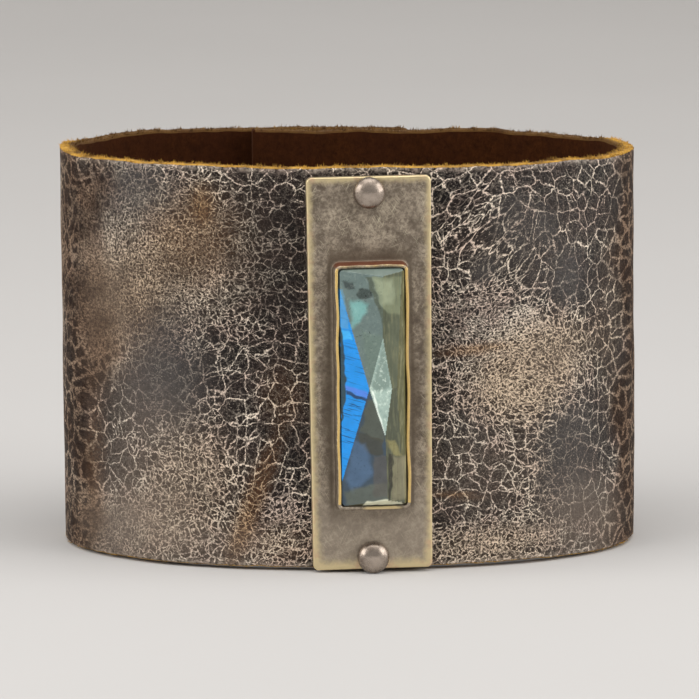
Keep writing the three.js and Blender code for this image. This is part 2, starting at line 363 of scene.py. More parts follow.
def buildLeather():
    look = leatherLook
    material, tree, shader = newMaterial("crackedLeather")
    flat = attribute(tree, "crack", "Vector")
    net, paintedSheen, tanned, orange, side, bright, rim, film = (
        attribute(tree, name) for name in ("net", "paintedSheen", "tan", "orange", "side", "bright", "rim", "film"))
    bent = flat
    for scale, detail, rough, reach in look["bends"]:
        push = noise(tree, flat, scale, detail, rough, "Color")
        bent = vectorMath(tree, "MULTIPLY_ADD", push, (reach, reach, 0.0), bent)

    # One net gives way to the next as the cells get finer
    uneven = times(tree, minus(tree, noise(tree, flat, 0.42, 3.0, 0.6), 0.5), 1.7)
    fineness = plus(tree, net, uneven)
    made, lines = [], None
    for i, (cell, width, gapShare, gapSize, rise, fall) in enumerate(look["nets"]):
        moved = vectorMath(tree, "ADD", bent, [i * step for step in look["netStep"]])
        lineWidth = plus(tree, times(tree, side, look["sideWiden"]), width)
        made.append(useGroup(tree, crackNet, {"Vector": moved, "Cell Size": cell, "Line Width": lineWidth,
                                              "Gap Share": gapShare, "Gap Size": gapSize}))
        drawn = made[-1]["Line"]
        if rise:
            drawn = times(tree, drawn, span(tree, fineness, rise[0], rise[1], rise[2], 1.0))
        if fall:
            drawn = times(tree, drawn, span(tree, fineness, fall[0], fall[1], 1.0, fall[2]))
        lines = calc(tree, "MAXIMUM", lines, drawn) if lines else drawn
    coarse, middle = made[0], made[1]
    # The painted sheen of reflected light hides the lines under it
    lines = times(tree, lines, minus(tree, 1.0, times(tree, paintedSheen, 0.88, True)))

    # How much of the lines is seen, with dust between them and a painted highlight along the rims
    sparkle = clouds(tree, flat, 3.6, 3.0, 0.75, 0.37, 0.65, 0.12, 1.95)
    fade = clouds(tree, flat, 0.55, 3.0, 0.6, 0.30, 0.62, 0.50, 1.10)
    dust = times(tree, clouds(tree, flat, 4.6, 3.0, 0.75, 0.59, 0.68, 0.0, 0.72),
                 minus(tree, 1.0, times(tree, paintedSheen, 0.45)))
    drawn = times(tree, lines, times(tree, fade, sparkle))
    shown = times(tree, calc(tree, "MAXIMUM", drawn, dust), bright, True)
    # A painted highlight along the rims, broken up by clouds
    wearAndHighlight = times(tree, rim, clouds(tree, flat, 1.6, 3.0, 0.7, 0.35, 0.65, 0.0, 0.42))
    shown = calc(tree, "MAXIMUM", shown, wearAndHighlight)

    cellTone = plus(tree, times(tree, coarse["Cell"], 0.45), times(tree, middle["Cell"], 0.40))
    cloud = noise(tree, flat, 0.22, 4.0, 0.6)
    grit = noise(tree, flat, 3.2, 3.0, 0.7)
    base = mix(tree, span(tree, plus(tree, cellTone, cloud), 0.45, 1.25), look["black"], look["char"])
    for mask, field, limits, tone in ((tanned, grit, (0.30, 0.66, 0.35, 1.0), "tan"),
                                      (paintedSheen, grit, (0.2, 0.8, 0.55, 0.95), "paintedSheen"),
                                      (side, cloud, (0.30, 0.66, 0.35, 1.0), "brown"),
                                      (orange, grit, (0.34, 0.62, 0.15, 1.0), "orange")):
        base = mix(tree, times(tree, mask, span(tree, field, *limits), True), base, look[tone])
    lineColour = mix(tree, span(tree, cloud, 0.38, 0.62), look["line"], look["pinkLine"])
    # The lines are painted darker at the sides: painted shade where the band turns away
    for mask, share, tone in ((tanned, 0.9, "tanLine"), (orange, 1.2, "orangeLine"),
                              (side, 0.85, "sideLine")):
        lineColour = mix(tree, times(tree, mask, share, True), lineColour, look[tone])
    veil = times(tree, film, span(tree, grit, 0.25, 0.75, 0.45, 0.85), True)
    colour = mix(tree, veil, mix(tree, shown, base, lineColour), look["film"])

    gloss = span(tree, noise(tree, flat, 1.1, 4.0, 0.65), 0.3, 0.7, 0.24, 0.46, "LINEAR")
    rough = plus(tree, plus(tree, gloss, times(tree, lines, 0.25)), times(tree, side, 0.55), True)
    height = minus(tree, span(tree, middle["Border"], 0.0, 0.45, 0.0, 0.035), times(tree, lines, 0.035))
    height = plus(tree, height, times(tree, noise(tree, flat, 0.8, 4.0, 0.6), 0.09))
    setInputs(tree, shader, {"Base Color": colour, "Roughness": rough, "Specular IOR Level": 0.17,
                             "Normal": addBump(tree, height, 0.85)})
    return material


def buildNapped(name, look):
    # Raw leather: tangled fibres of two tones, stained in clouds, and darker deep in a cut edge
    material, tree, shader = newMaterial(name)
    place = objectCoordinates(tree)
    fibres = useGroup(tree, nap, {"Vector": place, "Fibre Size": look["fibre"]})
    stain = noise(tree, stretch(tree, place, look["stainScale"]), 1.0, *look["stainGrain"])
    colour = mix(tree, fibres["Mask"], look["dark"], look["light"])
    colour = mix(tree, span(tree, stain, *look["stained"]), colour, look["stain"])
    if "inner" in look:
        buried = plus(tree, attribute(tree, "deep"), times(tree, minus(tree, stain, 0.5), 0.5))
        colour = mix(tree, span(tree, buried, 0.30, 0.78, 0.0, 0.92), colour, look["inner"])
    setInputs(tree, shader, {
        "Base Color": colour, "Normal": addBump(tree, fibres["Height"], look["bump"]), **look["shader"]})
    return material


def buildBrass(name, look):
    material, tree, shader = newMaterial(name)
    place = objectCoordinates(tree)
    aged = useGroup(tree, patina, {
        "Vector": place, "Dark": look["dark"], "Light": look["light"], "Cloud Size": look["cloud"],
        "Speckle": look["speckle"], "Scratch": look["scratch"], "Scratching": look["scratching"]})
    wearAndHighlight = useGroup(tree, edgeWear, {"Vector": place, "Edge": attribute(tree, "edge"), "Grain": 1.3,
                                       "Bite": look["bite"]})["Mask"]
    colour, worn, copper = aged["Color"], look["worn"], None
    if "shade" in look:
        pale, shade, lip, copper = (attribute(tree, key) for key in ("pale", "shade", "lip", "copper"))
        colour = mix(tree, times(tree, pale, 0.55), colour, look["pale"])
        colour = mix(tree, times(tree, shade, 0.85, True), colour, look["shade"])
        blush = clouds(tree, place, 0.6, 3.0, 0.6, 0.50, 0.66, 0.0, 0.5)
        worn = mix(tree, lip, mix(tree, blush, worn, look["blush"]), look["lip"])
    colour = mix(tree, wearAndHighlight, colour, worn)
    if copper:
        colour = mix(tree, times(tree, copper, 0.85, True), colour, look["copper"])
    rough = span(tree, aged["Rough"], 0.0, 1.0, *look["rough"], "LINEAR")
    rough = minus(tree, rough, times(tree, wearAndHighlight, 0.10))
    setInputs(tree, shader, {"Base Color": colour, "Roughness": rough, "Metallic": 0.85,
                             "Normal": addBump(tree, aged["Height"], 0.7)})
    return material


def buildStoneLook():
    # Each facet keeps its painted tone, which carries its blue flash and its light and shade, and the stone's
    # plan carries striations, streaks and inclusions
    material, tree, shader = newMaterial("labradorite")
    plan = attribute(tree, "plan", "Vector")
    turned = stretch(tree, plan, (1.0, 1.0, 1.0), (0.0, 0.0, math.radians(14)))
    layers = noise(tree, stretch(tree, turned, (0.30, 4.2, 1.0)), 1.0, 3.0, 0.65)
    silk = noise(tree, stretch(tree, plan, (3.6, 0.36, 1.0)), 1.0, 4.0, 0.65)
    mottle = noise(tree, stretch(tree, plan, (1.0, 0.8, 1.0)), 1.7, 5.0, 0.7)
    specks = noise(tree, plan, 2.6, 4.0, 0.75)
    colour = attribute(tree, "tint", "Color")
    for field, low, high, where, share, tone in (
            (layers, 0.55, 0.62, "layered", 0.85, (0.006, 0.012, 0.035, 1)),
            (silk, 0.48, 0.66, "streaked", 1.0, (0.23, 0.225, 0.12, 1)),
            (silk, 0.46, 0.30, "streaked", 1.0, (0.035, 0.034, 0.020, 1)),
            (mottle, 0.50, 0.68, "mottled", 1.0, (0.60, 0.70, 0.62, 1)),
            (mottle, 0.46, 0.30, "mottled", 1.0, (0.20, 0.28, 0.25, 1)),
            (specks, 0.56, 0.68, "dusty", 1.0, (0.012, 0.014, 0.014, 1))):
        amount = times(tree, span(tree, field, low, high), times(tree, attribute(tree, where), share), True)
        colour = mix(tree, amount, colour, tone)
    shading = mix(tree, noise(tree, plan, 0.55, 3.0, 0.6), (0.70, 0.70, 0.70, 1), (1.30, 1.30, 1.30, 1))
    colour = mix(tree, 1.0, colour, shading, "MULTIPLY")
    # A faint glow in the stone's own colours is painted light
    setInputs(tree, shader, {
        "Base Color": colour, "Emission Color": colour, "Emission Strength": 0.16, "Roughness": 0.16,
        "IOR": 1.50, "Specular IOR Level": 0.30, "Coat Weight": 0.15, "Coat Roughness": 0.03})
    return material


crackedLeather = buildLeather()
rawEdge = buildNapped("rawLeatherEdge", {
    "dark": (0.22, 0.105, 0.016, 1), "light": (0.78, 0.46, 0.080, 1), "stain": (0.085, 0.036, 0.008, 1),
    "inner": (0.060, 0.023, 0.006, 1), "fibre": 0.22, "stainScale": (0.35, 0.35, 0.35),
    "stainGrain": (4.0, 0.6), "stained": (0.46, 0.66, 0.0, 0.75), "bump": 1.0,
    "shader": {"Roughness": 0.9, "Specular IOR Level": 0.2, "Sheen Weight": 0.08, "Sheen Roughness": 0.5,
               "Sheen Tint": (1.0, 0.75, 0.4, 1)}})
suedeLining = buildNapped("suedeLining", {
    "dark": (0.012, 0.0034, 0.0010, 1), "light": (0.060, 0.0182, 0.0044, 1),
    "stain": (0.030, 0.0085, 0.0035, 1), "fibre": 0.35, "stainScale": (0.09, 0.09, 0.05),
    "stainGrain": (3.0, 0.55), "stained": (0.35, 0.65, 0.0, 0.55), "bump": 0.8,
    "shader": {"Roughness": 0.92, "Specular IOR Level": 0.05, "Sheen Weight": 0.06, "Sheen Roughness": 0.45,
               "Sheen Tint": (0.8, 0.45, 0.25, 1)}})
plateBrass = buildBrass("agedBrass", {
    "dark": (0.145, 0.115, 0.088, 1), "light": (0.515, 0.438, 0.340, 1), "cloud": 1.7, "speckle": 0.60,
    "scratch": (0.66, 0.59, 0.44, 1), "scratching": 0.75, "worn": (0.70, 0.58, 0.34, 1),
    "blush": (0.66, 0.42, 0.28, 1), "lip": (0.78, 0.55, 0.20, 1), "copper": (0.26, 0.075, 0.032, 1),
    "pale": (0.40, 0.34, 0.27, 1), "shade": (0.135, 0.105, 0.075, 1), "rough": (0.42, 0.62), "bite": 0.45})
rivetBrass = buildBrass("rivetBrass", {
    "dark": (0.15, 0.115, 0.092, 1), "light": (0.33, 0.275, 0.225, 1), "cloud": 1.6, "speckle": 0.35,
    "scratch": (0.50, 0.44, 0.36, 1), "scratching": 0.25, "worn": (0.44, 0.37, 0.31, 1),
    "rough": (0.24, 0.36), "bite": 0.6})
snapMetal = buildBrass("snapMetal", {
    "dark": (0.13, 0.105, 0.075, 1), "light": (0.29, 0.245, 0.18, 1), "cloud": 3.0, "speckle": 0.45,
    "scratch": (0.45, 0.38, 0.26, 1), "scratching": 0.4, "worn": (0.55, 0.44, 0.26, 1),
    "rough": (0.32, 0.52), "bite": 0.6})
labradorite = buildStoneLook()
print("cuff: the materials are built")

# Patches on the outer face: along the strip from the middle of the front, up, half width, half height,
# turn in degrees, strength
patches = {
    "net": [
        (-27.0, 38.5, 14.0, 12.0, 0, 0.95), (-36.0, 33.0, 6.0, 12.0, 0, 0.30),
        (14.5, 31.5, 8.0, 4.5, 0, 0.75), (20.5, 24.5, 10.5, 7.5, 12, 0.95), (16.8, 2.8, 12.0, 3.6, 0, 0.85),
        (-33.5, 3.5, 8.0, 5.0, 0, 0.7), (-23.2, 10.8, 7.0, 10.0, 0, 0.65), (-12.0, 5.0, 5.0, 6.0, 0, 0.75),
        (22.0, 10.0, 6.0, 5.0, 0, 0.35), (15.0, 41.0, 8.5, 8.0, 0, 0.20),
    ],
    # Patches of painted sheen: grey reflected light on the glossy cells
    "paintedSheen": [
        (-30.2, 47.6, 5.5, 3.6, 0, 0.75), (-27.0, 24.0, 6.5, 8.0, 0, 1.0), (-34.0, 3.5, 5.0, 4.2, 0, 0.55),
        (19.0, 43.5, 3.4, 4.5, 30, 0.55), (27.0, 12.5, 5.5, 8.5, 0, 0.90), (13.0, 18.0, 3.0, 4.0, 0, 0.30),
        (27.5, 36.0, 2.6, 4.0, 0, 0.65), (15.0, 37.5, 2.2, 1.8, 40, 0.6), (22.0, 38.0, 9.0, 9.0, 0, 0.30),
        (24.0, 42.5, 1.8, 3.0, 20, 0.5),
    ],
    "tan": [
        (-23.5, 40.3, 10.0, 9.5, 0, 0.70), (-21.2, 46.5, 2.1, 2.3, 0, 0.5), (23.2, 26.5, 9.5, 4.7, 8, 1.0),
        (19.8, 21.3, 7.5, 4.4, 0, 0.85), (15.5, 2.3, 9.6, 3.0, 0, 0.75), (-36.2, 34.0, 5.4, 7.4, 0, 0.55),
        (-30.2, 33.3, 5.0, 7.0, 0, 0.6), (-23.0, 10.5, 7.0, 8.0, 0, 0.75), (35.0, 30.0, 3.0, 12.0, 0, 0.45),
        (-33.0, 3.5, 8.0, 4.5, 0, 0.6), (24.5, 11.0, 7.0, 7.5, 0, 0.45), (20.0, 40.0, 9.0, 6.0, 0, 0.25),
    ],
    "orange": [
        (-14.9, 8.3, 1.5, 9.5, -21, 0.55), (11.0, 9.0, 3.4, 0.45, -6, 0.6), (-37.8, 13.3, 2.0, 8.0, 0, 0.30),
        (-21.0, 46.0, 1.5, 2.6, 0, 0.40), (-12.0, 3.0, 5.0, 3.0, 0, 0.25), (-22.5, 41.5, 6.0, 5.0, 30, 0.35),
        (-33.0, 30.0, 6.0, 7.0, 0, 0.22), (13.0, 27.5, 5.0, 0.6, 4, 0.5), (-11.0, 22.0, 3.0, 4.0, 0, 0.25),
    ],
    "film": [
        (-31.5, 4.0, 9.0, 5.5, 0, 0.62), (-28.5, 13.5, 8.0, 9.0, 0, 0.38), (-35.5, 31.0, 5.0, 10.0, 0, 0.28),
        (-19.0, 2.5, 8.0, 3.0, 0, 0.35), (30.5, 4.5, 7.0, 5.5, 0, 0.60), (24.5, 26.0, 7.0, 5.0, 0, 0.20),
        (14.0, 11.5, 6.5, 6.0, 0, 0.24),
    ],
    # How bright the lines are, patch by patch; the two long patches at the far sides dim them as painted
    # shade
    "bright": [
        (-25.0, 38.0, 15.0, 13.0, 0, -0.37), (-12.5, 42.0, 6.0, 9.5, 0, -0.60),
        (-13.0, 15.0, 5.0, 10.0, 0, -0.08), (14.5, 42.0, 8.0, 9.0, 0, 0.48), (22.0, 14.0, 9.0, 9.0, 0, 0.10),
        (19.5, 24.0, 10.0, 9.0, 0, 0.32), (-22.0, 10.0, 8.0, 10.0, 0, 0.05),
        (-11.0, 33.0, 4.0, 6.0, 0, -0.26), (-39.5, 25.0, 6.0, 40.0, 0, -0.38),
        (38.0, 25.0, 6.0, 40.0, 0, -0.27), (12.0, 31.0, 6.5, 6.0, 0, -0.42),
    ],
}
# Where cells are drawn out along a direction: centre, half width, half height, direction in degrees, share
pulls = [
    (15.5, 41.5, 9.0, 9.5, 44, 0.62), (-40.0, 22.0, 6.5, 30.0, 0, 0.45), (39.5, 26.0, 6.5, 30.0, 0, 0.45),
    (22.0, 21.0, 8.0, 5.5, -12, 0.40), (-14.0, 15.0, 5.0, 12.0, 68, 0.25),
]
outside, lining, cutEdge = 0, 1, 2  # the band's kinds of surface, in the order of its materials


def wallOutline(inset):
    # Quarter ellipses joined by straight stretches, from the strip's outer end at the back by the left
    # side, the front and the right side to its inner end. The same index is the same place at any inset.
    side, depth = cuff["side"] - inset, cuff["depth"] - inset
    lapDepth = depth - cuff["thickness"] - cuff["lapGap"]
    back, front, lap = cuff["backHalf"], cuff["frontHalf"], cuff["lapHalf"]
    turn = np.linspace(0, math.pi / 2, cuff["cornerSteps"])
    up, over = np.sin(turn), np.cos(turn)
    x = np.concatenate([[lap], -back - (side - back) * up, -front - (side - front) * over,
                        front + (side - front) * up, back + (side - back) * over, [-lap]])
    y = np.concatenate([[depth], depth * over, -depth * up, -depth * over, lapDepth * up, [lapDepth]])
    return x, y


def sectionLoop():
    # Once round the strip's section with rounded edges: up the outside, over the top, down the inside and
    # under the bottom. Gives the depth into the leather, the height, and the kind of surface.
    r, tall, thick = cuff["edgeRound"], cuff["height"], cuff["thickness"]
    bend = np.linspace(0, math.pi / 2, 5)[1:]
    up, over = r * np.sin(bend), r * np.cos(bend)
    face = np.linspace(0, 1, cuff["faceSteps"])
    face = face - 0.06 * np.sin(2 * math.pi * face) / math.pi  # closer together near the rims
    outer = r + face * (tall - 2 * r)
    inner = np.linspace(tall - r, r, cuff["faceSteps"] // 2)[1:]
    across = np.linspace(r, thick - r, 6)[1:]
    depth = np.concatenate([np.zeros_like(outer), r - over, across, thick - r + up,
                            np.full_like(inner, thick), thick - r + over, across[::-1] - (across[0] - r),
                            (r - up)[:-1]])
    height = np.concatenate([outer, tall - r + up, np.full_like(across, tall), tall - r + over, inner, r - up,
                             np.zeros_like(across), (r - over)[:-1]])
    counts = [len(outer) + 1, len(across) + 6, len(inner), len(across) + 6, 2]
    return depth, height, np.repeat([outside, cutEdge, lining, cutEdge, outside], counts)


outerX, outerY = wallOutline(0)
innerX, innerY = wallOutline(cuff["thickness"])
runLength = np.concatenate([[0], np.cumsum(np.hypot(np.diff(outerX), np.diff(outerY)))])
frontLeft = 2 * cuff["cornerSteps"]  # the outline's point at the left of the straight front
frontRun = np.interp(0, [-cuff["frontHalf"], cuff["frontHalf"]], runLength[frontLeft:frontLeft + 2])
runLength = runLength - frontRun  # zero in the middle of the front
stripStart, stripEnd = runLength[0], runLength[-1]


def alongStrip(run, depth):
    # The point at a distance along the strip and a depth into the leather, and the way out of it
    share, reach = depth / cuff["thickness"], 0.15
    x = np.interp(run, runLength, outerX) * (1 - share) + np.interp(run, runLength, innerX) * share
    y = np.interp(run, runLength, outerY) * (1 - share) + np.interp(run, runLength, innerY) * share
    aheadX, aheadY = (np.interp(run + reach, runLength, c) - np.interp(run - reach, runLength, c)
                      for c in (outerX, outerY))
    length = np.hypot(aheadX, aheadY)
    return x, y, aheadY / length, -aheadX / length


def rimWave(run, seed):
    flat = np.zeros_like(run)
    return cuff["rimWave"] * (0.6 * waves(run, flat, 14, seed) + 0.3 * waves(run, flat, 3.5, seed + 1))


def placeOnBand(run, depth, height):
    # Along the strip, into the leather and up; the rims wave a little, the outer face swells and sinks
    # except behind the plate and at the lap, and the whole band leans
    tall = cuff["height"]
    x, y, outX, outY = alongStrip(run, depth)
    z = height + smoothStep(height, tall - 7, tall) * np.clip(rimWave(run, 11), -0.3, 0.25)
    z = z + smoothStep(-height, -5, 0) * np.clip(rimWave(run, 23), 0, 0.3)
    free = smoothStep(np.abs(run), 7.0, 10.5) * smoothStep(-run, -84, -78) * smoothStep(run, -100, -94)
    free = free * (1 - 0.75 * np.exp(-((np.abs(run) - 56) / 12) ** 2))  # the sides bend too much to swell
    swell = 0.7 * waves(run, height, 14, 5) + 0.15 * waves(run, height, 6, 6)
    swell = cuff["lump"] * swell * free * (1 - depth / cuff["thickness"])
    x = x + outX * swell - cuff["shear"] * (height - tall / 2)
    return np.stack([x, y + outY * swell, z], -1)


def bandMasks(run, height):
    # Where the outer face is finely netted, painted with a grey sheen of reflected light, tan, streaked
    # orange, filmed, brown at the sides where its lines are painted darker as shade, painted with a highlight
    # along the rims and how bright its lines are, and where its cells lie. Behind the sides the patches are
    # random.
    away = 1 - smoothStep(-np.abs(run), -52, -44)
    broad, close = waves(run, height, 22, 41), waves(run, height, 16, 42)
    masks = {key: spots(run, height, places) for key, places in patches.items()}
    for key, field, low, high, share in (("net", broad, -0.3, 1.0, 0.9), ("paintedSheen", close, 0.5, 1.6, 0.7),
                                         ("tan", broad, 0.2, 1.5, 0.6)):
        masks[key] += away * smoothStep(field, low, high) * share
    for key in ("net", "paintedSheen", "tan", "orange", "film"):
        masks[key] = np.clip(masks[key], 0, 1)
    around = np.abs(run) + 1.6 * waves(run, height, 15, 43)
    # At the sides the base turns brown and the lines are painted darker as shade
    masks["side"] = smoothStep(around, 33, 40) * (0.55 + 0.45 * smoothStep(-around, -54, -43))
    half = cuff["height"] / 2
    # Where the rims get a painted highlight
    masks["rim"] = smoothStep(np.abs(height - half), half - 0.62, half - 0.34)
    masks["bright"] = np.clip(0.90 + masks["bright"] + 0.12 * waves(run, height, 9, 51), 0.3, 1.3)
    u, v = run.copy(), height.copy()
    for cx, cy, rx, ry, turn, share in pulls:
        c, s = math.cos(math.radians(turn)), math.sin(math.radians(turn))
        weight = share * np.exp(-(((run - cx) / rx) ** 2 + ((height - cy) / ry) ** 2))
        along = (run - cx) * c + (height - cy) * s
        u -= weight * along * c
        v -= weight * along * s
    masks["crack"] = np.stack([u, v, np.zeros_like(u)], -1)
    return masks


def farRim(run):
    # The cut edge is duller away from the plate
    return 0.55 * smoothStep(np.abs(run), 50, 64)


def buildBand():
    # The section carried along the strip, and squeezed at the two ends to round them
    depth, height, kind = sectionLoop()
    r, thick = cuff["edgeRound"], cuff["thickness"]
    near = 0.3 * r
    inner = np.linspace(stripStart + r, stripEnd - r, cuff["steps"])
    run = np.concatenate([[stripStart, stripStart + near], inner, [stripEnd - near, stripEnd]])
    squeeze = np.concatenate([[r, near], np.zeros(len(inner)), [near, r]])[:, None]
    rows, columns = len(run), len(depth)
    runGrid = np.repeat(run[:, None], columns, 1)
    depthGrid = np.clip(depth[None, :], squeeze, thick - squeeze)
    heightGrid = np.clip(height[None, :], squeeze, cuff["height"] - squeeze)
    points = placeOnBand(runGrid, depthGrid, heightGrid).reshape(-1, 3)
    # The masks follow the outside and carry on over the rims
    masks = bandMasks(runGrid.ravel(), heightGrid.ravel())
    masks["deep"] = (depthGrid / thick + farRim(runGrid)).ravel()
    kinds = np.tile(kind, rows - 1).reshape(rows - 1, columns)
    kinds[:2], kinds[-2:] = cutEdge, lining
    piece = makePiece("cuff_leather", points, [gridFaces(rows, columns), *endFaces(rows, columns)],
                      [crackedLeather, suedeLining, rawEdge], np.append(kinds, [cutEdge, lining]), masks)
    return onBody(piece, "leather", "leather_band")


bandPiece = buildBand()

# Loose fibres that stand out of the cut edges
fuzz = {"top": 8500, "bottom": 3500, "short": 0.14, "long": 0.52, "width": 0.055, "root": 0.03, "seed": 7}


def buildFuzz():
    # Each fibre is a thin three-sided spike: a random foot on a rim, leaning out of the leather
    dice = np.random.default_rng(fuzz["seed"])
    r, thick, count = cuff["edgeRound"], cuff["thickness"], fuzz["top"] + fuzz["bottom"]
    top = np.arange(count) < fuzz["top"]
    run = dice.uniform(stripStart + 0.5, stripEnd - 0.5, count)
    depth = thick * np.clip(dice.beta(0.7, 0.7, count), 0.04, 0.96)
    inset = np.minimum(np.minimum(depth, thick - depth), r)
    sag = r - np.sqrt(np.clip(r ** 2 - (r - inset) ** 2, 0, None))
    height = np.where(top, cuff["height"] - sag - fuzz["root"], sag + fuzz["root"])
    foot = placeOnBand(run, depth, height)
    outX, outY = alongStrip(run, depth)[2:]
    tilt = (0.5 - depth / thick) * 1.3 + dice.normal(0, 0.45, count)
    slide = dice.normal(0, 0.6, count)
    rise = np.where(top, 1.0, -0.12)
    way = np.stack([outX * tilt - outY * slide, outY * tilt + outX * slide, rise], -1)
    way /= np.linalg.norm(way, axis=1, keepdims=True)
    clump = smoothStep(waves(run, depth * 2, 2.4, 81), -0.8, 1.6)
    length = dice.uniform(fuzz["short"], fuzz["long"], count) * (0.35 + 0.9 * clump)
    tip = foot + way * length[:, None]
    sideA = np.cross(way, [0.3, 0.5, 0.81])
    sideA /= np.linalg.norm(sideA, axis=1, keepdims=True)
    sideB = np.cross(way, sideA)
    width = fuzz["width"] * dice.uniform(0.6, 1.3, count)[:, None]
    turns = [(math.cos(a), math.sin(a)) for a in (0, 2 * math.pi / 3, 4 * math.pi / 3)]
    corners = [foot + width * (c * sideA + s * sideB) for c, s in turns]
    points = np.stack([*corners, tip], 1).reshape(-1, 3)
    points[:, 2] += np.clip(-stand(points)[:, 2], 0, None)  # none goes through the floor
    base = np.arange(count)[:, None] * 4
    faces = np.concatenate([base + f for f in ([0, 1, 3], [1, 2, 3], [2, 0, 3], [0, 2, 1])])
    deep = np.repeat(depth / thick * 0.7 + farRim(run), 4)
    piece = makePiece("edge_fibres", points, [faces], [rawEdge], values={"deep": deep}, smooth=False)
    return onBody(piece, "leather", "leather_band")


buildFuzz()
print("cuff: the leather is made,", len(bandPiece.data.polygons), "faces")

# The brass plate carries its bezel; sizes are millimetres in the plate's own frame
plate = {
    "topWidth": 15.7,
    "bottomWidth": 15.1,
    "height": 49.8,
    "thickness": 1.0,
    "corner": 0.7,
    "lean": -1.1,  # degrees
    "back": -0.26,  # the back face lies close on the leather
    "gap": 0.3,
    "bezelWall": 0.45,
    "bezelHeight": 2.4,
    "bezelCorner": 0.9,
    "bezelDrop": 1.4,
    "wobble": 0.045,  # how far the hand-rubbed lip strays
}
stone = {
    "width": 8.1,
    "length": 29.9,
    "corner": 0.5,
    "base": 1.3,
    "girdle": 1.7,
    "crown": 1.8,
    "clearance": 0.2,
    "across": 96,
    "along": 330,
}
leanCos, leanSin = math.cos(math.radians(plate["lean"])), math.sin(math.radians(plate["lean"]))


def onPlate(points):
    # From the plate's own frame (across, up, out of its back face) to the finished one
    across, up, out = points[..., 0], points[..., 1], points[..., 2]
    x = across * leanCos + up * leanSin
    z = up * leanCos - across * leanSin + plate["height"] / 2
    return stand(np.stack([x, -(cuff["depth"] + plate["gap"]) - out, z], -1))


def panelLoop(topWidth, bottomWidth, height, corner):
    # A rounded rectangle or trapezoid, clockwise from the top left as seen from the front, with the same
    # number of points on each side whatever its size
    t, b, h = topWidth / 2, bottomWidth / 2, height / 2
    corners = np.array([(-t, h), (t, h), (b, -h), (-b, -h)])
    turn = np.linspace(0, math.pi / 2, 7)
    parts = []
    for i, count in enumerate((44, 130, 44, 130)):
        here = corners[i]
        onward, inward = corners[(i + 1) % 4] - here, here - corners[i - 1]
        length = math.hypot(*onward)
        onward, inward = onward / length, inward / math.hypot(*inward)
        centre = here - inward * corner + onward * corner
        arc = centre - np.outer(np.cos(turn), onward) * corner + np.outer(np.sin(turn), inward) * corner
        away = np.linspace(corner, length - corner, count + 2)[1:-1]
        parts += [arc, here + np.outer(away, onward)]
    return np.concatenate(parts)


